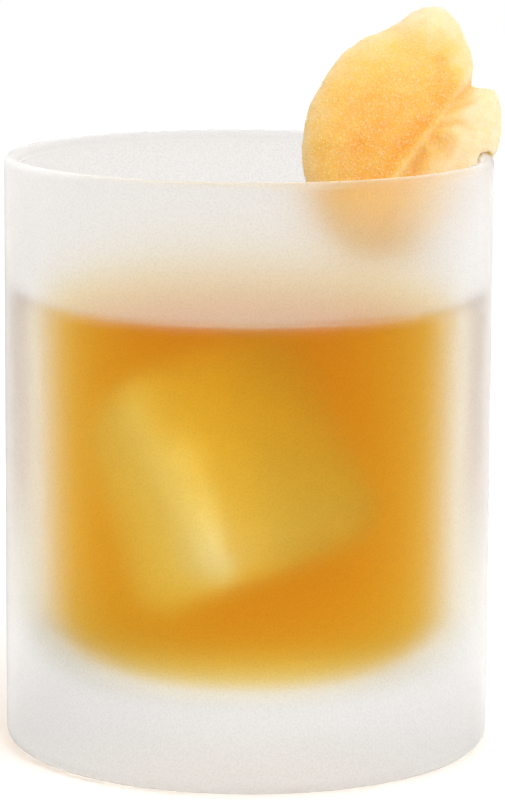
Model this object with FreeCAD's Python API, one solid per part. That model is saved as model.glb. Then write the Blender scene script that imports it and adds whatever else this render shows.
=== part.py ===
"""A penicillin cocktail: a frosted rocks glass, the drink in it, and candied ginger slit over its rim.

Millimetres, +Z up. The origin is the centre of the glass's foot, on the surface it stands on. +X points to
the right and the drink is seen from -Y. The ginger sits on the rim at the right, a little to the back.
"""
import FreeCAD, Part
import math
import os

# Glass: a straight tumbler, round lip, thick foot
GLASS_RADIUS = 43.0
GLASS_HEIGHT = 105.0
RIM_WALL = 2.4          # wall at the lip, which is rounded over its full width
FLOOR_WALL = 3.8        # wall where the hollow's rounded corner starts
FOOT_THICKNESS = 13.0   # solid glass under the drink
HEEL_ROUNDING = 3.0     # outer edge of the foot
FLOOR_ROUNDING = 14.0   # inner corner between wall and floor

# Drink
DRINK_LEVEL = 80.0      # height of the surface above the table
DRINK_GAP = 0.05        # between the drink's solid and the glass

# Candied ginger, in its own frame: out along the rim's radius, across it, and up from the lip
GINGER_BEARING = 16.0   # degrees round the rim from +X towards +Y
SLIT_GAP = 0.3          # between the ginger's slit and the glass

# Each lobe: centre and half sizes (out, across, up), and degrees that its top leans outwards
GINGER_LOBES = {
    "slice": ((-16.9, 0.0, 2.4), (14.8, 6.5, 19.0), 13.0),
    "tail": ((-17.0, 0.0, -7.2), (11.0, 6.0, 12.4), -12.0),
    "knob": ((-11.0, 1.0, 15.9), (6.8, 5.0, 10.7), 36.5),
    "shoulder": ((-5.5, 1.0, 13.3), (5.0, 5.5, 7.7), 12.0),
    "fold": ((-6.6, -5.0, -4.0), (6.5, 5.5, 17.0), 28.0),
    "flap": ((0.0, 2.0, 2.4), (3.5, 6.5, 8.6), 4.0),
}

GINGER_CORE = (-11.7, -1.5, 4.2)             # a point well inside the slice
GINGER_CORE_HALF_SIZES = (15.0, 7.0, 18.0)   # spreads the skin's grid evenly over a flat slice
CREASE_SHARPNESS = 16.0                      # higher gives sharper creases between lobes
GRID_OVER = 20                               # grid of the skin, from face to face
GRID_AROUND = 64                             # and round the slice's edge

UP = FreeCAD.Vector(0, 0, 1)
ACROSS = FreeCAD.Vector(0, 1, 0)
ORIGIN = FreeCAD.Vector(0, 0, 0)


def point(radius, height):
    """A point of a turned outline."""
    return FreeCAD.Vector(radius, 0, height)


def quarter_arc(start, end, centre):
    """The short arc from start to end about centre."""
    middle = (start + end) * 0.5 - centre
    middle.normalize()
    return Part.Arc(start, centre + middle * (start - centre).Length, end).toShape()


def line(start, end):
    return Part.LineSegment(start, end).toShape()


def turned(edges):
    """The solid turned about the vertical axis from a closed outline."""
    return Part.Face(Part.Wire(edges)).revolve(ORIGIN, UP, 360)


def wall_at(height):
    """Wall thickness at a height: it grows evenly from the lip down to the floor's corner."""
    lip = GLASS_HEIGHT - RIM_WALL / 2
    corner = FOOT_THICKNESS + FLOOR_ROUNDING
    return RIM_WALL + (FLOOR_WALL - RIM_WALL) * (lip - height) / (lip - corner)


def hollow_radius(height):
    """Radius of the glass's hollow at a height above its floor's corner."""
    return GLASS_RADIUS - wall_at(height)


def hollow_corner(shrink):
    """Ends and centre of the hollow's lower corner, moved into the hollow by shrink."""
    height = FOOT_THICKNESS + FLOOR_ROUNDING
    radius = FLOOR_ROUNDING - shrink
    centre = point(hollow_radius(height) - FLOOR_ROUNDING, height)
    low = point(centre.x, height - radius)
    high = point(centre.x + radius, height)
    return low, high, centre


def make_glass():
    lip_radius = RIM_WALL / 2
    lip_height = GLASS_HEIGHT - lip_radius
    heel_inner = point(GLASS_RADIUS - HEEL_ROUNDING, 0)
    heel_outer = point(GLASS_RADIUS, HEEL_ROUNDING)
    heel_centre = point(GLASS_RADIUS - HEEL_ROUNDING, HEEL_ROUNDING)
    lip_outer = point(GLASS_RADIUS, lip_height)
    lip_top = point(GLASS_RADIUS - lip_radius, GLASS_HEIGHT)
    lip_inner = point(GLASS_RADIUS - RIM_WALL, lip_height)
    lip_centre = point(GLASS_RADIUS - lip_radius, lip_height)
    floor_low, floor_high, floor_centre = hollow_corner(0)
    floor_middle = point(0, FOOT_THICKNESS)
    return turned([
        line(ORIGIN, heel_inner),
        quarter_arc(heel_inner, heel_outer, heel_centre),
        line(heel_outer, lip_outer),
        quarter_arc(lip_outer, lip_top, lip_centre),
        quarter_arc(lip_top, lip_inner, lip_centre),
        line(lip_inner, floor_high),
        quarter_arc(floor_high, floor_low, floor_centre),
        line(floor_low, floor_middle),
        line(floor_middle, ORIGIN),
    ])


def make_drink():
    """The drink up to its level, standing DRINK_GAP off the glass and cut round any ginger that dips in."""
    floor_low, floor_high, floor_centre = hollow_corner(DRINK_GAP)
    surface_edge = point(hollow_radius(DRINK_LEVEL) - DRINK_GAP, DRINK_LEVEL)
    surface_middle = point(0, DRINK_LEVEL)
    floor_middle = point(0, floor_low.z)
    drink = turned([
        line(floor_middle, floor_low),
        quarter_arc(floor_low, floor_high, floor_centre),
        line(floor_high, surface_edge),
        line(surface_edge, surface_middle),
        line(surface_middle, floor_middle),
    ])
    return drink.cut(make_candied_ginger())


def reach_of_lobe(start, direction, centre, half_sizes, lean):
    """How far a ray from start, which may be outside the lobe, goes before it leaves it: 0 if it misses."""
    upright = FreeCAD.Rotation(ACROSS, -lean)
    from_centre = upright.multVec(start - FreeCAD.Vector(*centre))
    heading = upright.multVec(direction)
    p = [from_centre[i] / half_sizes[i] for i in range(3)]
    q = [heading[i] / half_sizes[i] for i in range(3)]
    a = sum(v * v for v in q)
    b = sum(v * w for v, w in zip(p, q))
    c = sum(v * v for v in p) - 1
    if b * b < a * c:
        return 0.0
    return max(0.0, (math.sqrt(b * b - a * c) - b) / a)


def ginger_skin(around, over):
    """A point of the ginger's skin: the farthest lobe in a direction, with the creases between them rounded."""
    flatness = GINGER_CORE_HALF_SIZES
    direction = FreeCAD.Vector(
        flatness[0] * math.sin(over) * math.cos(around),
        flatness[1] * math.cos(over),
        flatness[2] * math.sin(over) * math.sin(around),
    )
    direction.normalize()
    start = FreeCAD.Vector(*GINGER_CORE)
    reaches = [reach_of_lobe(start, direction, *lobe) for lobe in GINGER_LOBES.values()]
    reach = sum(r ** CREASE_SHARPNESS for r in reaches) ** (1 / CREASE_SHARPNESS)
    return start + direction * reach


def make_ginger_body():
    """The ginger before it is slit: flat facets between the points of a grid, closed by a fan on each face."""
    rings = []
    for i in range(1, GRID_OVER):
        over = math.pi * i / GRID_OVER
        rings.append([ginger_skin(2 * math.pi * j / GRID_AROUND, over) for j in range(GRID_AROUND)])
    facets = []
    for j in range(GRID_AROUND):
        k = (j + 1) % GRID_AROUND
        facets.append((ginger_skin(0, 0), rings[0][j], rings[0][k]))
        facets.append((ginger_skin(0, math.pi), rings[-1][k], rings[-1][j]))
        for upper, lower in zip(rings, rings[1:]):
            facets.append((upper[j], lower[j], lower[k]))
            facets.append((upper[j], lower[k], upper[k]))
    faces = [Part.Face(Part.makePolygon(corners + corners[:1])) for corners in facets]
    body = Part.Solid(Part.makeShell(faces))
    if body.Volume < 0:
        body.reverse()
    return body


def make_slit():
    """The ring that the glass's wall fills from the floor's corner to the lip, with the slit's gap all round."""
    corner = FOOT_THICKNESS + FLOOR_ROUNDING
    top = GLASS_HEIGHT + SLIT_GAP
    inner_low = point(hollow_radius(corner) - SLIT_GAP, corner)
    inner_high = point(GLASS_RADIUS - RIM_WALL - SLIT_GAP, top)
    outer_high = point(GLASS_RADIUS + SLIT_GAP, top)
    outer_low = point(GLASS_RADIUS + SLIT_GAP, corner)
    return turned([
        line(inner_low, outer_low),
        line(outer_low, outer_high),
        line(outer_high, inner_high),
        line(inner_high, inner_low),
    ])


def make_candied_ginger():
    ginger = make_ginger_body()
    ginger.translate(FreeCAD.Vector(GLASS_RADIUS - RIM_WALL / 2, 0, GLASS_HEIGHT))
    ginger.rotate(ORIGIN, UP, GINGER_BEARING)
    return ginger.cut(make_slit())


NODES = {
    "glass": make_glass,
    "drink": make_drink,
    "candied_ginger": make_candied_ginger,
}

os.makedirs("parts", exist_ok=True)
for name, make in NODES.items():
    shape = make()
    print(name, shape.isValid(), len(shape.Solids), round(shape.Volume / 1000, 1), "cm3", shape.BoundBox)
    shape.exportStep("parts/" + name + ".step")
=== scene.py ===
"""Looks of a penicillin cocktail: frosted rocks glass, amber drink, one big ice cube and sugared ginger.

Metres, +Z up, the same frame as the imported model. The camera looks along +Y.
"""
import itertools
import math
import random

import bmesh
import bpy
import numpy
from mathutils import Euler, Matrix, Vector, noise


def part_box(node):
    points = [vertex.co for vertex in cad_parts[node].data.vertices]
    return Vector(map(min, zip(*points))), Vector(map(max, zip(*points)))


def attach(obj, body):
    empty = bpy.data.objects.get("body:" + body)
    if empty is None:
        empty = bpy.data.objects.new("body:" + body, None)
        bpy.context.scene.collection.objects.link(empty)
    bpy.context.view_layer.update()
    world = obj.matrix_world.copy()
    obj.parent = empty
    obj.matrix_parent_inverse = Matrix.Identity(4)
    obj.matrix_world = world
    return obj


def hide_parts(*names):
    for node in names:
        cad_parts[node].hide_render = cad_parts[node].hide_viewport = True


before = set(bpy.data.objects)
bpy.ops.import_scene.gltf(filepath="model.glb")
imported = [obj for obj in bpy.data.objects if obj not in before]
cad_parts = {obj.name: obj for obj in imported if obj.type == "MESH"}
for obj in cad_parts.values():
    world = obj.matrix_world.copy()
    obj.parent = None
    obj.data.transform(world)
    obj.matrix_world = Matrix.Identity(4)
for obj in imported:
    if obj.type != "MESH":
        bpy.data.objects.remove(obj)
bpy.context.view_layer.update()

MM = 0.001
FRONT = Vector((0.0, -1.0, 0.0))    # direction towards the camera's side
WHITE = (1.0, 1.0, 1.0, 1)
USUAL_NOISE = (0.3, 0.7)      # most values of a noise lie between these
random.seed(7)

# Sizes that come from the frame
GLASS_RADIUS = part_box("glass")[1].x
GLASS_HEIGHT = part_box("glass")[1].z
SURFACE_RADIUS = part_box("drink")[1].x
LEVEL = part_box("drink")[1].z
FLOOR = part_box("drink")[0].z

# Frosted glass
RIM_WALL = 2.4 * MM
FROST_DEPTH = 0.6 * MM        # the frosted skin, which then fades out over as much again
FROST_ROUGHNESS = 0.78
INSIDE_ROUGHNESS = 0.03
GRAIN_SIZE = 0.35 * MM
GRAIN_HEIGHT = 0.03 * MM
GRAIN_TINTS = ((0.87, 0.86, 0.85, 1), WHITE)
GRAIN_STEP = (0.35, 0.6)      # values of the grain's noise between which the tint changes
HAZE = 0.8                    # sheen of the blasted skin
HAZE_ROUGHNESS = 0.25

# Indices of refraction, lower than the real ones: the drink overlaps the wall and the ice the drink, and
# light caught between two overlapping surfaces would veil the drink
GLASS_INDEX = 1.15
DRINK_INDEX = 1.01
ICE_INDEX = 1.03

# Drink
ABSORPTION = (4.0, 18.5, 90.0)    # per metre, in red, green and blue
ABSORPTION_DENSITY = 100.0    # the node absorbs this much, times one minus its colour
WALL_BITE = 0.3 * MM          # how far the drink reaches into the glass, so that no air shows
FLOOR_ROUNDING = 14.0 * MM    # the glass's inner corner
FLOOR_INSET = 1.0 * MM        # how much narrower the hollow is where that corner starts
CORNER_STEPS = 16             # along the drink's rounded foot
MENISCUS_HEIGHT = 1.4 * MM
MENISCUS_REACH = 3.0 * MM
MENISCUS_FALL = 4.0           # how steeply it falls away from the wall
MENISCUS_STEPS = 10
DRINK_TURNS = 192             # steps round the drink
SURFACE_GLOSS = 1.0
SURFACE_INDEX = 1.33          # of the gloss alone
GLOSS_DEPTHS = (1.4 * MM, 0.3 * MM)    # how far below the level the gloss starts, and where it is full

# Ice: shape
ICE_SIZES = Vector((40.0, 30.0, 41.0)) * MM
ICE_ROUNDING = 8.0 * MM
ICE_ROUNDING_STEPS = 5
ICE_ROUND_PROFILE = 0.5       # a bevel's profile that is an arc
ICE_CUTS = 5                  # of each edge, so that the waves have points to move
ICE_WAVES = ((16.0 * MM, 0.9 * MM), (5.0 * MM, 0.15 * MM))   # size and height of each
ICE_MELT = 0.55               # how much thinner it is at its top than at its foot, in mean thicknesses
ICE_TURN = (math.radians(-14), math.radians(-22), math.radians(40))   # about X, Y and Z
ICE_TURN_ORDER = "ZXY"        # about Z first, then X, then Y
ICE_CENTRE = Vector((-4.0, -9.0, 50.0)) * MM
ICE_BITE = 0.1 * MM           # how far the ice reaches into the drink round it

# Ice: looks
ICE_CLOUDY_SIDE = Vector((-0.75, -0.6, -0.2)).normalized()    # the sides that face this way are cloudy
ICE_CLOUDY_FACING = (0.1, 0.8)    # cosines from that direction where the clouds are thinnest and thickest
ICE_CLEARNESS = (0.85, 0.2)   # share of light that goes through, on a clear side and a cloudy one
ICE_CLOUDS = 9.0 * MM         # size of the cloudy patches
ICE_CLOUD_DETAIL = 4.0
ICE_CLOUD_SHIFT = 0.4         # how far a patch moves the edge of the cloudy sides, as a cosine
ICE_BUMPS = 4.0 * MM          # size of the melted skin's bumps
ICE_BUMP_HEIGHT = 0.3 * MM
ICE_ROUGHNESS = (0.02, 0.2)

# Candied ginger: shape
GINGER_VOXEL = 0.5 * MM
GINGER_SMOOTHING = 4          # rounds of smoothing after the remesh
GINGER_FOLDS = ((7.0 * MM, 0.35 * MM), (2.6 * MM, 0.2 * MM), (0.9 * MM, 0.1 * MM))   # size and height
RIDGE_FOOT = Vector((27.0, 0.0, 103.5)) * MM      # the front fold's crisp edge runs from here
RIDGE_ALONG = Vector((0.61, 0.0, 0.79))           # in this direction
RIDGE_HEIGHT = 0.6 * MM
RIDGE_WIDTH = 1.1 * MM
SLIT_MARGIN = 1.0 * MM        # relief and sugar stop this far from the glass

# Candied ginger: paleness with painted light, 0 at its amber heart, partly painted shade, and 1 at its thin
# pale edges, partly painted glow
THIN_STEPS = 160              # smoothing steps that find how thin the ginger is
THIN_SCALE = 2.6 * MM
# paler where thin: partly sugar, partly painted glow of light through the thin flesh
THIN_PALENESS_AND_GLOW = 0.6
GINGER_HEART = Vector((23.0, 8.0, 108.0)) * MM    # the deepest colour: thick flesh, partly painted shade
GINGER_HEART_REACH = 24.0 * MM
AWAY_PALENESS = 0.6           # at that reach from the heart
AWAY_POWER = 1.5
# paler front fold, with a painted highlight along its edge
FOLD_PALENESS_AND_HIGHLIGHT = 0.35
FOLD_LEAD = 0.5               # how far before the ridge this starts, in widths of the ridge
MOTTLE_SIZE = 3.0 * MM
MOTTLE_DETAIL = 4.0
MOTTLE_PALENESS = 0.12        # how much paler or deeper a patch of mottle is

# Candied ginger: flesh
DEEP_AMBER = (0.91, 0.41, 0.02, 1)
MID_AMBER = (0.94, 0.58, 0.12, 1)
MID_PALENESS = 0.45           # where the flesh is mid amber
PALE_AMBER = (0.95, 0.72, 0.46, 1)
FLESH_GLOW_REACH = 7.0 * MM
FLESH_GLOW = (1.0, 0.75, 0.45)    # how far red, green and blue spread in the flesh, as shares of that reach
FLESH_SHEEN = 0.3
FLESH_GLOSS = 0.4
FLESH_GRAIN = 0.5 * MM
FLESH_GRAIN_DETAIL = 3.0
FLESH_GRAIN_HEIGHT = 0.35 * MM
FLESH_ROUGHNESS = (0.35, 0.75)
DUST_SIZE = 0.45 * MM
DUST_STEP = (0.5, 0.68)       # values of the dust's noise between which it thickens
DUST_STRENGTH = 0.3

# Sugar on the ginger
SUGAR_CRYSTALS = 14000
SUGAR_SIZES = (0.08 * MM, 0.15 * MM)
SUGAR_STRETCH = (0.6, 1.2)    # shortest and longest side of a crystal, as shares of its size
SUGAR_RISE = 0.2              # height of a crystal's middle above the skin, as a share of its size
SUGAR_INDEX = 1.55
SUGAR_TINTS = ((1.0, 0.84, 0.54, 1), (0.98, 0.72, 0.30, 1))
SUGAR_PATCHES = 1.5 * MM      # size of the glossy and dull patches
SUGAR_PATCH_STEP = (0.35, 0.65)    # values of their noise between which the gloss fades
SUGAR_ROUGHNESS = (0.05, 0.5)
BLOCK_CORNERS = tuple(itertools.product((-1, 1), repeat=3))    # sides of the middle along X, Y and Z
BLOCK_FACES = ((0, 1, 3, 2), (4, 6, 7, 5), (0, 4, 5, 1), (2, 3, 7, 6), (0, 2, 6, 4), (1, 5, 7, 3))

# Room
BACKLIGHT = Vector((0.3, 0.85, 0.4)).normalized()    # direction towards the bright side of the room
DARK_SIDE = 0.5               # strength of the light there; it is 1 on the bright side
DARK_AND_BRIGHT = (-0.9, -0.1)    # cosines from the backlight where the room is dark and bright
HORIZON = (0.80, 0.74, 0.69, 1)   # the room's low far side, as the glass and the drink's surface show it
HORIZON_TOP = 0.35            # sine of the height where it has faded out
KEY_PLACE = Vector((0.35, -0.7, 0.75))
KEY_SIZE = 0.6
KEY_WATTS = 5.0

# Floor
FLOOR_REACH = 1.5             # half the side of the square floor
FLOOR_COLOUR = (0.93, 0.93, 0.93, 1)
FLOOR_LIFT = 0.14             # white added to the floor for the camera only

# Floor as it shows through the glass: a painted glow, with painted shade far behind and a painted shadow at
# each side
# colour of that painted glow
PAINTED_GLOW_TINT = (1.0, 0.985, 0.965, 1)
PAINTED_GLOW_NEAR_AND_FAR = (1.0, 0.9)    # strength of the painted glow near the glass and far behind it, where it is painted shade
NEAR_AND_FAR = (0.05, 0.4)    # how far behind the glass the painted glow has each strength
PAINTED_FLOOR_SHADOWS = (              # place and depth of each painted shadow beside the glass
    (Vector((-65.0, 25.0, 0.0)) * MM, 0.3),
    (Vector((70.0, 15.0, 0.0)) * MM, 0.2),
)
PAINTED_SHADOW_REACH = (20.0 * MM, 80.0 * MM)    # how far from its middle a painted shadow is deepest, and has ended

# Camera, fitted to the glass's rim, sides and foot
CAMERA_LENS = 186.5
CAMERA_SENSOR = 36.0
CAMERA_PLACE = Vector((0.83, -724.6, 187.0)) * MM
CAMERA_TARGET = Vector((0.83, 0.0, 61.2)) * MM
CAMERA_ROLL = math.radians(0.3)
CAMERA_CLIP = 0.01

BOUNCES = 400                 # light goes to and fro many times between overlapping clear surfaces


# Nodes

def first_node(tree, kind):
    """The node of a kind that a new material or world already has."""
    return next(n for n in tree.nodes if n.type == kind)


def new_material(name):
    """A Principled material: the material, its node tree and its shader."""
    material = bpy.data.materials.new(name)
    material.use_nodes = True
    tree = material.node_tree
    return material, tree, first_node(tree, "BSDF_PRINCIPLED")


def set_inputs(made, values):
    """Gives some of a node's inputs their values."""
    for name, value in values.items():
        made.inputs[name].default_value = value


def node(tree, kind, values=None, **settings):
    """A node with its plain settings, and the values of some of its inputs."""
    made = tree.nodes.new(kind)
    for name, value in settings.items():
        setattr(made, name, value)
    set_inputs(made, values or {})
    return made


def object_place(tree):
    """The place of the shaded point in the object's own coordinates."""
    return node(tree, "ShaderNodeTexCoord").outputs["Object"]


def split(tree, vector):
    """A vector's parts, by name."""
    made = node(tree, "ShaderNodeSeparateXYZ")
    tree.links.new(vector, made.inputs[0])
    return made.outputs


def combine(tree, operation, first, second):
    """What an operation makes of two numbers."""
    made = node(tree, "ShaderNodeMath", operation=operation)
    tree.links.new(first, made.inputs[0])
    tree.links.new(second, made.inputs[1])
    return made.outputs[0]


def measure(tree, operation, vector, fixed):
    """The number that an operation makes of a vector and a fixed one."""
    made = node(tree, "ShaderNodeVectorMath", operation=operation)
    made.inputs[1].default_value = fixed
    tree.links.new(vector, made.inputs[0])
    return made.outputs["Value"]


def map_range(tree, source, low, high, to_low=0.0, to_high=1.0, smooth=False):
    """The source mapped from low..high to to_low..to_high."""
    values = {"From Min": low, "From Max": high, "To Min": to_low, "To Max": to_high}
    made = node(tree, "ShaderNodeMapRange", values)
    if smooth:
        made.interpolation_type = "SMOOTHSTEP"
    tree.links.new(source, made.inputs["Value"])
    return made.outputs["Result"]


def object_noise(tree, size, detail=2.0):
    """Noise of a given feature size in the object's own coordinates."""
    made = node(tree, "ShaderNodeTexNoise", {"Scale": 1 / size, "Detail": detail})
    tree.links.new(object_place(tree), made.inputs["Vector"])
    return made.outputs["Fac"]


def mix_colours(tree, factor, first, second):
    """A colour between two; each is a colour or a socket."""
    made = node(tree, "ShaderNodeMix", data_type="RGBA")
    tree.links.new(factor, made.inputs["Factor"])
    colour_inputs = [socket for socket in made.inputs if socket.type == "RGBA"]
    for socket, colour in zip(colour_inputs, (first, second)):
        if isinstance(colour, tuple):
            socket.default_value = colour
        else:
            tree.links.new(colour, socket)
    return next(socket for socket in made.outputs if socket.type == "RGBA")


def bump(tree, shader, height, distance):
    """Tilts a shader's surface as if it rose by a distance where the height is 1."""
    made = node(tree, "ShaderNodeBump", {"Distance": distance})
    tree.links.new(height, made.inputs["Height"])
    tree.links.new(made.outputs["Normal"], shader.inputs["Normal"])


# Materials

def frost_mask(tree):
    """1 on the glass's outer side, at its lip and under its foot, 0 inside it."""
    parts = split(tree, object_place(tree))
    flat = node(tree, "ShaderNodeCombineXYZ")
    tree.links.new(parts["X"], flat.inputs["X"])
    tree.links.new(parts["Y"], flat.inputs["Y"])
    radius = measure(tree, "DISTANCE", flat.outputs[0], (0, 0, 0))
    outside = map_range(tree, radius, GLASS_RADIUS - 2 * FROST_DEPTH, GLASS_RADIUS - FROST_DEPTH)
    under = map_range(tree, parts["Z"], 2 * FROST_DEPTH, FROST_DEPTH)
    lip = map_range(tree, parts["Z"], GLASS_HEIGHT - RIM_WALL, GLASS_HEIGHT - RIM_WALL / 2)
    return combine(tree, "MAXIMUM", combine(tree, "MAXIMUM", outside, under), lip)


def frosted_glass():
    """Clear glass, sandblasted on its outer side, at its lip and under its foot."""
    material, tree, shader = new_material("frosted_glass")
    set_inputs(shader, {
        "Transmission Weight": 1.0,
        "IOR": GLASS_INDEX,
        "Sheen Weight": HAZE,
        "Sheen Roughness": HAZE_ROUGHNESS,
    })
    frosted = frost_mask(tree)
    rough = map_range(tree, frosted, 0, 1, INSIDE_ROUGHNESS, FROST_ROUGHNESS)
    tree.links.new(rough, shader.inputs["Roughness"])
    grain = object_noise(tree, GRAIN_SIZE)
    blasted = mix_colours(tree, map_range(tree, grain, *GRAIN_STEP), *GRAIN_TINTS)
    tree.links.new(mix_colours(tree, frosted, WHITE, blasted), shader.inputs["Base Color"])
    bump(tree, shader, combine(tree, "MULTIPLY", grain, frosted), GRAIN_HEIGHT)
    return material


def amber_drink():
    """Clear liquid that takes blue and green out of the light on its way, with a gloss on its top only."""
    material, tree, shader = new_material("drink")
    set_inputs(shader, {
        "Base Color": WHITE,
        "Transmission Weight": 1.0,
        "Roughness": 0.0,
        "IOR": DRINK_INDEX,
        "Coat IOR": SURFACE_INDEX,
    })
    height = split(tree, object_place(tree))["Z"]
    start, full = (LEVEL - depth for depth in GLOSS_DEPTHS)
    tree.links.new(map_range(tree, height, start, full, 0, SURFACE_GLOSS), shader.inputs["Coat Weight"])
    colour = [1 - a / ABSORPTION_DENSITY for a in ABSORPTION] + [1]
    absorb = node(tree, "ShaderNodeVolumeAbsorption", {"Color": colour, "Density": ABSORPTION_DENSITY})
    tree.links.new(absorb.outputs[0], first_node(tree, "OUTPUT_MATERIAL").inputs["Volume"])
    return material


def clear_ice():
    """Ice with an uneven melted skin, cloudy on the sides that face left and to the front."""
    material, tree, shader = new_material("ice")
    set_inputs(shader, {"Base Color": WHITE, "IOR": ICE_INDEX})
    normal = node(tree, "ShaderNodeNewGeometry").outputs["Normal"]
    side = measure(tree, "DOT_PRODUCT", normal, ICE_CLOUDY_SIDE)
    patches = object_noise(tree, ICE_CLOUDS, ICE_CLOUD_DETAIL)
    shift = map_range(tree, patches, *USUAL_NOISE, -ICE_CLOUD_SHIFT, ICE_CLOUD_SHIFT)
    cloudy = combine(tree, "ADD", side, shift)
    clear = map_range(tree, cloudy, *ICE_CLOUDY_FACING, *ICE_CLEARNESS, smooth=True)
    tree.links.new(clear, shader.inputs["Transmission Weight"])
    melt = object_noise(tree, ICE_BUMPS)
    tree.links.new(map_range(tree, melt, *USUAL_NOISE, *ICE_ROUGHNESS), shader.inputs["Roughness"])
    bump(tree, shader, melt, ICE_BUMP_HEIGHT)
    return material


def ginger_flesh():
    """Translucent candied ginger: pale where it is thin, partly painted glow; deep amber at its heart,
    partly painted shade; a painted highlight along the fold's edge; with mottle and grain.
    """
    material, tree, shader = new_material("candied_ginger")
    set_inputs(shader, {
        "Subsurface Weight": 1.0,
        "Subsurface Radius": FLESH_GLOW,
        "Subsurface Scale": FLESH_GLOW_REACH,
        "Sheen Weight": FLESH_SHEEN,
        "Specular IOR Level": FLESH_GLOSS,
    })
    paleness_and_painted_light = node(tree, "ShaderNodeAttribute", attribute_name="paleness_and_painted_light").outputs["Fac"]
    mottle = object_noise(tree, MOTTLE_SIZE, MOTTLE_DETAIL)
    shift = map_range(tree, mottle, *USUAL_NOISE, -MOTTLE_PALENESS, MOTTLE_PALENESS)
    # from deep amber, partly painted shade, to pale amber, partly painted glow and painted highlight
    ramp = node(tree, "ShaderNodeValToRGB")
    stops = ramp.color_ramp.elements
    stops[0].color = DEEP_AMBER
    stops[1].color = PALE_AMBER
    stops.new(MID_PALENESS).color = MID_AMBER
    tree.links.new(combine(tree, "ADD", paleness_and_painted_light, shift), ramp.inputs[0])
    dust = map_range(tree, object_noise(tree, DUST_SIZE), *DUST_STEP, 0.0, DUST_STRENGTH)
    tree.links.new(mix_colours(tree, dust, ramp.outputs[0], PALE_AMBER), shader.inputs["Base Color"])
    grain = object_noise(tree, FLESH_GRAIN, FLESH_GRAIN_DETAIL)
    tree.links.new(map_range(tree, grain, *USUAL_NOISE, *FLESH_ROUGHNESS), shader.inputs["Roughness"])
    bump(tree, shader, grain, FLESH_GRAIN_HEIGHT)
    return material


def sugar():
    """Warm white crystals, some glossy and some dull."""
    material, tree, shader = new_material("sugar")
    set_inputs(shader, {"IOR": SUGAR_INDEX})
    patches = object_noise(tree, SUGAR_PATCHES)
    dull = map_range(tree, patches, *SUGAR_PATCH_STEP, *SUGAR_ROUGHNESS)
    tree.links.new(dull, shader.inputs["Roughness"])
    tint = mix_colours(tree, map_range(tree, patches, *USUAL_NOISE), *SUGAR_TINTS)
    tree.links.new(tint, shader.inputs["Base Color"])
    return material


# Meshes

def link(name, data):
    """A new object in the scene."""
    made = bpy.data.objects.new(name, data)
    bpy.context.scene.collection.objects.link(made)
    return made


def add_piece(name, mesh, material):
    """Links a mesh as a piece that rides on the frame."""
    piece = link(name, mesh)
    mesh.materials.clear()
    mesh.materials.append(material)
    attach(piece, "root")
    return piece


def mesh_from(bm, name, smooth=True):
    """A mesh, shaded smooth or flat, which takes over the bmesh's shape."""
    for face in bm.faces:
        face.smooth = smooth
    mesh = bpy.data.meshes.new(name)
    bm.to_mesh(mesh)
    bm.free()
    return mesh


def arc(centre, radius, start, end, steps):
    """Points of an arc in a turned outline, as (distance from the axis, height)."""
    angles = [start + (end - start) * i / steps for i in range(steps + 1)]
    return [(centre[0] + radius * math.cos(a), centre[1] + radius * math.sin(a)) for a in angles]


def turned_mesh(name, outline, turns):
    """A closed mesh turned about Z from an outline whose first and last points are on the axis."""
    bm = bmesh.new()
    rings = []
    for r, z in outline[1:-1]:
        angles = [2 * math.pi * k / turns for k in range(turns)]
        rings.append([bm.verts.new((r * math.cos(a), r * math.sin(a), z)) for a in angles])
    first = bm.verts.new((0, 0, outline[0][1]))
    last = bm.verts.new((0, 0, outline[-1][1]))
    for k in range(turns):
        n = (k + 1) % turns
        bm.faces.new((first, rings[0][n], rings[0][k]))
        bm.faces.new((last, rings[-1][k], rings[-1][n]))
        for lower, upper in zip(rings, rings[1:]):
            bm.faces.new((lower[k], lower[n], upper[n], upper[k]))
    bmesh.ops.recalc_face_normals(bm, faces=bm.faces)
    return mesh_from(bm, name)


def evaluated(piece):
    """The mesh that a piece's modifiers give."""
    bpy.context.view_layer.update()
    return bpy.data.meshes.new_from_object(piece.evaluated_get(bpy.context.evaluated_depsgraph_get()))


def cut(target, tool):
    """Cuts the tool's shape out of the target's mesh."""
    modifier = target.modifiers.new("cut", "BOOLEAN")
    modifier.operation = "DIFFERENCE"
    modifier.solver = "EXACT"
    modifier.object = tool
    made = evaluated(target)
    target.modifiers.clear()
    target.data = made


def layered_noise(place, layers):
    """The sum of several noises, each with a feature size and a height."""
    return sum(noise.noise(place / size) * height for size, height in layers)


# Drink and ice

def drink_outline():
    """From the middle of the floor, round the corner, up the wall and over the meniscus to the middle."""
    wall = SURFACE_RADIUS + WALL_BITE
    corner_radius = FLOOR_ROUNDING + WALL_BITE
    centre = (wall - FLOOR_INSET - corner_radius, FLOOR + FLOOR_ROUNDING)
    outline = [(0, FLOOR - WALL_BITE)]
    outline += arc(centre, corner_radius, -math.pi / 2, 0, CORNER_STEPS)
    outline.append((wall, LEVEL + MENISCUS_HEIGHT))
    for i in range(1, MENISCUS_STEPS + 1):
        across = i / MENISCUS_STEPS
        lift = MENISCUS_HEIGHT * math.exp(-MENISCUS_FALL * across) * (1 - across)
        outline.append((wall - WALL_BITE - MENISCUS_REACH * across, LEVEL + lift))
    outline.append((0, LEVEL))
    return outline


def rounded_ice():
    """A plain block of ice with rounded edges, cut finely into triangles."""
    bm = bmesh.new()
    bmesh.ops.create_cube(bm, size=1)
    bmesh.ops.scale(bm, vec=ICE_SIZES, verts=bm.verts[:])
    bmesh.ops.bevel(
        bm,
        geom=bm.edges[:],
        offset=ICE_ROUNDING,
        segments=ICE_ROUNDING_STEPS,
        profile=ICE_ROUND_PROFILE,
        affect="EDGES",
    )
    bmesh.ops.subdivide_edges(bm, edges=bm.edges[:], cuts=ICE_CUTS, use_grid_fill=True)
    bmesh.ops.triangulate(bm, faces=bm.faces[:])
    bm.normal_update()
    return bm


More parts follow.
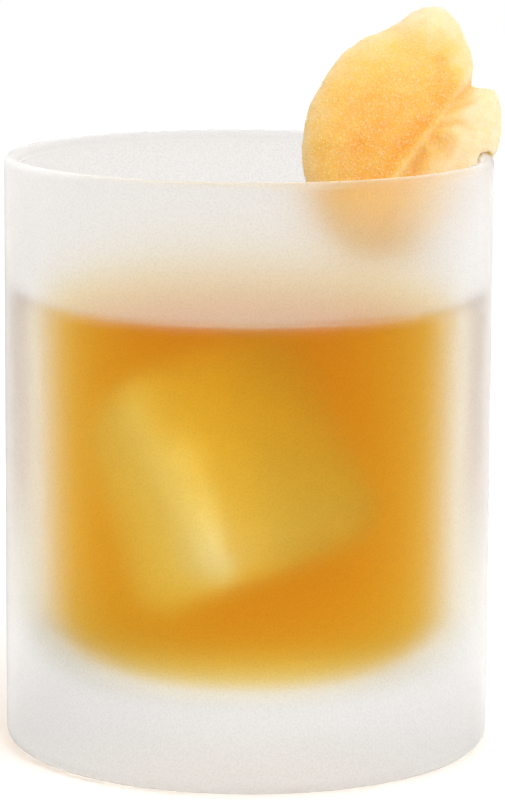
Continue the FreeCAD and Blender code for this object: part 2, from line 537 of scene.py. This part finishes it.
def ice_mesh(shrink):
    """The ice cube: melted edges and slightly wavy faces, shrunk all round by the given amount."""
    bm = rounded_ice()
    for vertex in bm.verts:
        vertex.co += vertex.normal * (layered_noise(vertex.co, ICE_WAVES) - shrink)
    turn = Euler(ICE_TURN, ICE_TURN_ORDER).to_matrix()
    for vertex in bm.verts:
        vertex.co.y *= 1 - ICE_MELT * vertex.co.z / ICE_SIZES.z
        vertex.co = turn @ vertex.co + ICE_CENTRE
    return mesh_from(bm, "ice_cube")


def make_drink_and_ice():
    """The drink up to its level, the ice in it, and the room for the ice cut out of the drink."""
    whole = turned_mesh("drink_liquid", drink_outline(), DRINK_TURNS)
    drink = add_piece("drink_liquid", whole, amber_drink())
    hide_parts("drink")
    add_piece("ice_cube", ice_mesh(0.0), clear_ice())
    hollow = link("ice_hollow", ice_mesh(ICE_BITE))
    cut(drink, hollow)
    bpy.data.objects.remove(hollow)


# Candied ginger

def near_glass(place):
    """Whether a point of the ginger is in the slit or close to the glass."""
    radius = math.hypot(place.x, place.y)
    inner = GLASS_RADIUS - RIM_WALL - SLIT_MARGIN
    return inner < radius < GLASS_RADIUS + SLIT_MARGIN and place.z < GLASS_HEIGHT + SLIT_MARGIN


def vertex_vectors(mesh, name):
    """A vector property of every vertex, as rows."""
    values = numpy.empty(len(mesh.vertices) * 3)
    mesh.vertices.foreach_get(name, values)
    return values.reshape(-1, 3)


def thinness(mesh):
    """For each vertex, how far heavy smoothing would pull the surface in: high on thin edges and knobs."""
    count = len(mesh.vertices)
    places = vertex_vectors(mesh, "co")
    edges = numpy.empty(len(mesh.edges) * 2, dtype=int)
    mesh.edges.foreach_get("vertices", edges)
    one, two = edges.reshape(-1, 2).T
    neighbours = numpy.bincount(one, minlength=count) + numpy.bincount(two, minlength=count)
    smoothed = places.copy()
    for _ in range(THIN_STEPS):
        sums = numpy.empty_like(smoothed)
        for axis in range(3):
            sums[:, axis] = numpy.bincount(one, smoothed[two, axis], count)
            sums[:, axis] += numpy.bincount(two, smoothed[one, axis], count)
        smoothed = sums / neighbours[:, None]
    return ((places - smoothed) * vertex_vectors(mesh, "normal")).sum(axis=1) / THIN_SCALE


def front_facing(vertex):
    """1 where the surface faces the front, and 0 where it faces sideways or back."""
    return max(0.0, vertex.normal.dot(FRONT))


def beyond_ridge(place):
    """How far a point lies on the fold's side of the ridge, seen from the front, in widths of the ridge."""
    return (place - RIDGE_FOOT).dot(RIDGE_ALONG.cross(FRONT)) / RIDGE_WIDTH


def ridge_relief(vertex):
    """The move that raises a lip along the fold's edge, on the front side only."""
    beyond = beyond_ridge(vertex.co)
    return FRONT * RIDGE_HEIGHT * front_facing(vertex) * math.exp(-beyond * beyond)


def ginger_paleness_and_painted_light(vertex, thin):
    """0 at the amber heart, which is partly painted shade, and 1 at thin pale edges, partly painted glow;
    the front fold is paler than the slice behind it, with a painted highlight along its edge.
    """
    away = (vertex.co - GINGER_HEART).length / GINGER_HEART_REACH
    beyond = beyond_ridge(vertex.co)
    # the fold's paleness, with a painted highlight that peaks at the ridge
    fold_and_highlight = FOLD_PALENESS_AND_HIGHLIGHT * min(1.0, max(0.0, beyond + FOLD_LEAD)) * (1 + math.exp(-beyond * beyond))
    paleness_and_painted_light = THIN_PALENESS_AND_GLOW * thin + AWAY_PALENESS * away ** AWAY_POWER + fold_and_highlight * front_facing(vertex)
    return min(1.0, max(0.0, paleness_and_painted_light))


def remeshed_ginger():
    """The ginger's solid as a fine, even and slightly smoothed mesh."""
    source = link("ginger_source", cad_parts["candied_ginger"].data.copy())
    remesh = source.modifiers.new("remesh", "REMESH")
    remesh.mode = "VOXEL"
    remesh.voxel_size = GINGER_VOXEL
    smooth = source.modifiers.new("smooth", "SMOOTH")
    smooth.iterations = GINGER_SMOOTHING
    mesh = evaluated(source)
    bpy.data.objects.remove(source)
    return mesh


def make_ginger():
    """The slice of ginger: wrinkled, with the fold's raised edge, and coloured by how thin it is and how
    far from its heart, with painted glow where thin, painted shade at its heart and a painted highlight
    along the fold's edge.
    """
    mesh = remeshed_ginger()
    attribute = mesh.attributes.new("paleness_and_painted_light", "FLOAT", "POINT")
    reliefs = []
    for vertex, thin in zip(mesh.vertices, thinness(mesh)):
        attribute.data[vertex.index].value = ginger_paleness_and_painted_light(vertex, thin)
        reliefs.append(vertex.normal * layered_noise(vertex.co, GINGER_FOLDS) + ridge_relief(vertex))
    for vertex, relief in zip(mesh.vertices, reliefs):
        if not near_glass(vertex.co):
            vertex.co += relief
    for polygon in mesh.polygons:
        polygon.use_smooth = True
    piece = add_piece("ginger_slice", mesh, ginger_flesh())
    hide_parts("candied_ginger")
    return piece


# Sugar

def random_point(mesh, triangle):
    """A random point of a triangle of the mesh."""
    a, b, c = (mesh.vertices[i].co for i in triangle.vertices)
    s, t = random.random(), random.random()
    if s + t > 1:
        s, t = 1 - s, 1 - t
    return a + (b - a) * s + (c - a) * t


def add_crystal(bm, place, normal):
    """One sugar crystal, a small leaning block, partly sunk in the surface."""
    size = random.uniform(*SUGAR_SIZES)
    half = Vector([size * random.uniform(*SUGAR_STRETCH) / 2 for _ in range(3)])
    turn = Euler([random.uniform(0, 2 * math.pi) for _ in range(3)]).to_matrix()
    centre = place + normal * size * SUGAR_RISE
    corners = []
    for corner in BLOCK_CORNERS:
        corners.append(bm.verts.new(centre + turn @ (half * Vector(corner))))
    for face in BLOCK_FACES:
        bm.faces.new([corners[i] for i in face])


def make_sugar(ginger):
    """Sugar crystals all over the ginger, joined in one piece."""
    mesh = ginger.data
    mesh.calc_loop_triangles()
    triangles = list(mesh.loop_triangles)
    chosen = random.choices(triangles, weights=[t.area for t in triangles], k=SUGAR_CRYSTALS)
    bm = bmesh.new()
    for triangle in chosen:
        place = random_point(mesh, triangle)
        if not near_glass(place):
            add_crystal(bm, place, Vector(triangle.normal))
    crystals = mesh_from(bm, "ginger_sugar", smooth=False)
    add_piece("ginger_sugar", crystals, sugar())


# Studio

def make_world():
    """A white room for the camera; its light comes mostly from behind, above and the right."""
    world = bpy.data.worlds.new("studio")
    bpy.context.scene.world = world
    world.use_nodes = True
    tree = world.node_tree
    background = first_node(tree, "BACKGROUND")
    direction = node(tree, "ShaderNodeTexCoord").outputs["Generated"]
    camera = node(tree, "ShaderNodeLightPath").outputs["Is Camera Ray"]
    facing = measure(tree, "DOT_PRODUCT", direction, BACKLIGHT)
    level = map_range(tree, facing, *DARK_AND_BRIGHT, DARK_SIDE, 1.0, smooth=True)
    height = map_range(tree, split(tree, direction)["Z"], 0.0, HORIZON_TOP, smooth=True)
    colour = mix_colours(tree, combine(tree, "MAXIMUM", height, camera), HORIZON, WHITE)
    tree.links.new(colour, background.inputs["Color"])
    tree.links.new(combine(tree, "MAXIMUM", level, camera), background.inputs["Strength"])


def painted_glow_in_glass(tree):
    """Strength of the floor's painted glow as the glass shows it: painted shade far behind, and a painted
    shadow at each side.
    """
    place = object_place(tree)
    painted_glow_level = map_range(tree, split(tree, place)["Y"], *NEAR_AND_FAR, *PAINTED_GLOW_NEAR_AND_FAR, smooth=True)
    for centre, depth in PAINTED_FLOOR_SHADOWS:
        away = measure(tree, "DISTANCE", place, centre)
        painted_shadow = map_range(tree, away, *PAINTED_SHADOW_REACH, 1 - depth, 1.0, smooth=True)
        painted_glow_level = combine(tree, "MULTIPLY", painted_glow_level, painted_shadow)
    return painted_glow_level


def floor_material():
    """Pale, keeping the drink's shadow; through the glass it shows a painted glow instead, with painted
    shade and painted shadows in it.
    """
    material, tree, shader = new_material("floor")
    set_inputs(shader, {
        "Base Color": FLOOR_COLOUR,
        "Roughness": 1.0,
        "Specular IOR Level": 0.0,
        "Emission Color": WHITE,
    })
    path = node(tree, "ShaderNodeLightPath").outputs
    lift = map_range(tree, path["Is Camera Ray"], 0, 1, 0, FLOOR_LIFT)
    tree.links.new(lift, shader.inputs["Emission Strength"])
    # through the glass the floor glows, with painted shade and painted shadows, in place of its lit white
    painted_glow = node(tree, "ShaderNodeEmission", {"Color": PAINTED_GLOW_TINT})
    tree.links.new(painted_glow_in_glass(tree), painted_glow.inputs["Strength"])
    mix = node(tree, "ShaderNodeMixShader")
    tree.links.new(path["Is Transmission Ray"], mix.inputs[0])
    tree.links.new(shader.outputs[0], mix.inputs[1])
    tree.links.new(painted_glow.outputs[0], mix.inputs[2])
    tree.links.new(mix.outputs[0], first_node(tree, "OUTPUT_MATERIAL").inputs["Surface"])
    return material


def make_floor():
    """The square floor under the drink."""
    bm = bmesh.new()
    bmesh.ops.create_grid(bm, x_segments=1, y_segments=1, size=FLOOR_REACH)
    floor = link("floor", mesh_from(bm, "floor"))
    floor.data.materials.append(floor_material())


def make_key_lamp():
    """A soft lamp at the front right, above the drink."""
    data = bpy.data.lights.new("key", "AREA")
    data.size = KEY_SIZE
    data.energy = KEY_WATTS
    lamp = link("key", data)
    lamp.location = KEY_PLACE
    lamp.rotation_euler = (CAMERA_TARGET - KEY_PLACE).to_track_quat("-Z", "Y").to_euler()


def make_camera():
    """The photo's view."""
    data = bpy.data.cameras.new("camera")
    data.lens = CAMERA_LENS
    data.sensor_width = CAMERA_SENSOR
    data.clip_start = CAMERA_CLIP
    camera = link("camera", data)
    camera.location = CAMERA_PLACE
    look = (CAMERA_TARGET - CAMERA_PLACE).to_track_quat("-Z", "Y")
    camera.rotation_mode = "QUATERNION"
    camera.rotation_quaternion = look @ Euler((0, 0, CAMERA_ROLL)).to_quaternion()
    bpy.context.scene.camera = camera


def set_render():
    """Plain colours, and enough bounces for the clear pieces."""
    scene = bpy.context.scene
    scene.view_settings.view_transform = "Standard"
    scene.cycles.max_bounces = BOUNCES
    scene.cycles.transmission_bounces = BOUNCES
    scene.cycles.glossy_bounces = BOUNCES


def finish_glass():
    """Gives the glass, which shows as packed, its frosted material."""
    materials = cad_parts["glass"].data.materials
    materials.clear()
    materials.append(frosted_glass())


set_render()
finish_glass()
make_drink_and_ice()
make_sugar(make_ginger())
make_world()
make_floor()
make_key_lamp()
make_camera()
